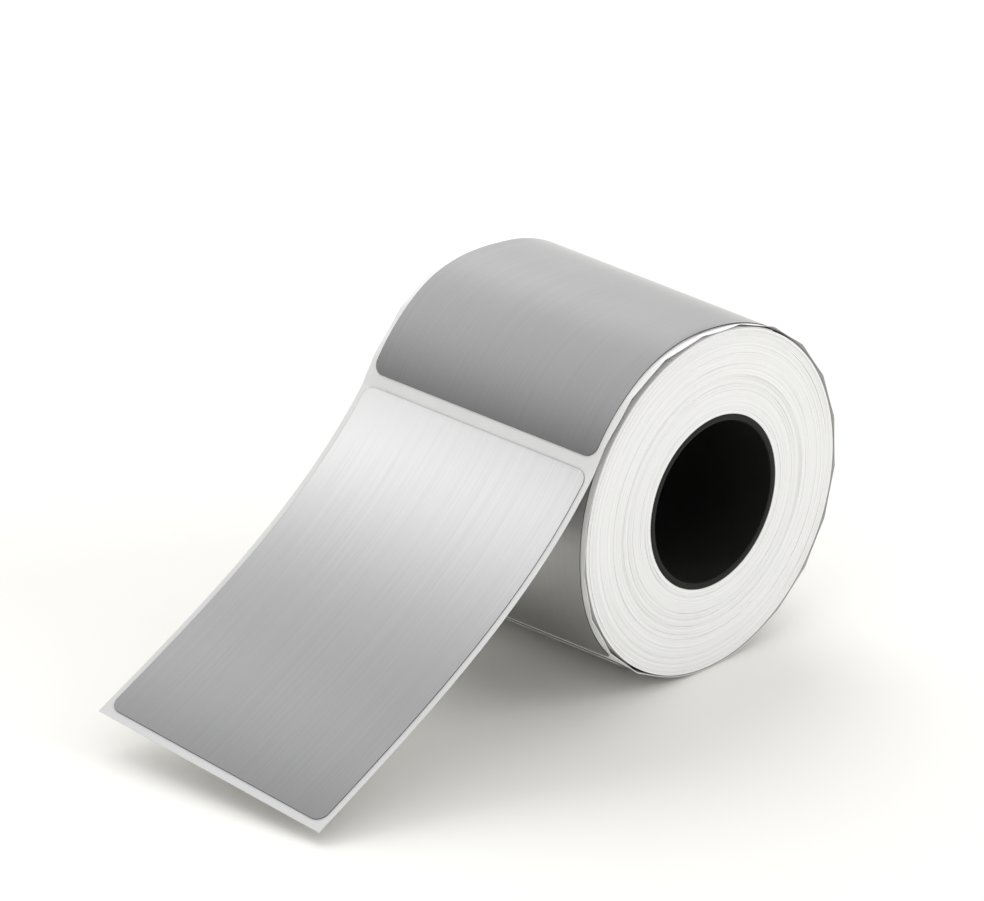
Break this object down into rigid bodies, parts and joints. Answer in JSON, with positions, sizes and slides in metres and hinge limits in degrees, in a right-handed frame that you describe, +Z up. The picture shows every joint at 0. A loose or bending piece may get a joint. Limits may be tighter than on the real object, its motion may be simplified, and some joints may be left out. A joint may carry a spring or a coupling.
{
  "type": "label roll",
  "caption": "Roll of brushed-silver rectangular labels on a white release liner, wound on a black plastic core, with a free leader that lifts and a front label that peels.",
  "frame": {"origin": "centre of the core's bore, half way along the roll", "axes": "+Y along the roll's axis, from the near end to the far end; +Z up; the free leader runs down towards -X"},
  "size_m": [0.1739, 0.0755, 0.0875],
  "materials": {
    "core_plastic": "satin",
    "tape_film": "satin",
    "liner_paper": "matte, smooth",
    "wound_edge": "matte, finely layered",
    "label_silver": "brushed along the web, satin"
  },
  "bodies": {
    "roll": {"core": "core_plastic", "core_tape": "tape_film", "liner_inner_turn": "liner_paper", "wound_turns": "wound_edge", "liner_outer_turn": "liner_paper", "label_under": "label_silver", "label_rear": "label_silver", "label_top": "label_silver"},
    "leader": {"liner_leader": "liner_paper"},
    "front_label": {"label_front": "label_silver"}
  },
  "joints": [
    {"name": "leader_lift", "type": "hinge", "parent": "roll", "child": "leader", "pos_m": [-0.04141, 0, 0.02167], "axis": [-0.0145, 0.9999, 0.0077], "range_deg": [-1.5, 60], "stiffness_Nm_per_rad": 0.03, "springref_deg": 2.84},
    {"name": "front_label_peel", "type": "hinge", "parent": "leader", "child": "front_label", "pos_m": [-0.04169, 0, 0.02154], "axis": [-0.0125, 0.9999, 0.0108], "range_deg": [0, 50]}
  ]
}
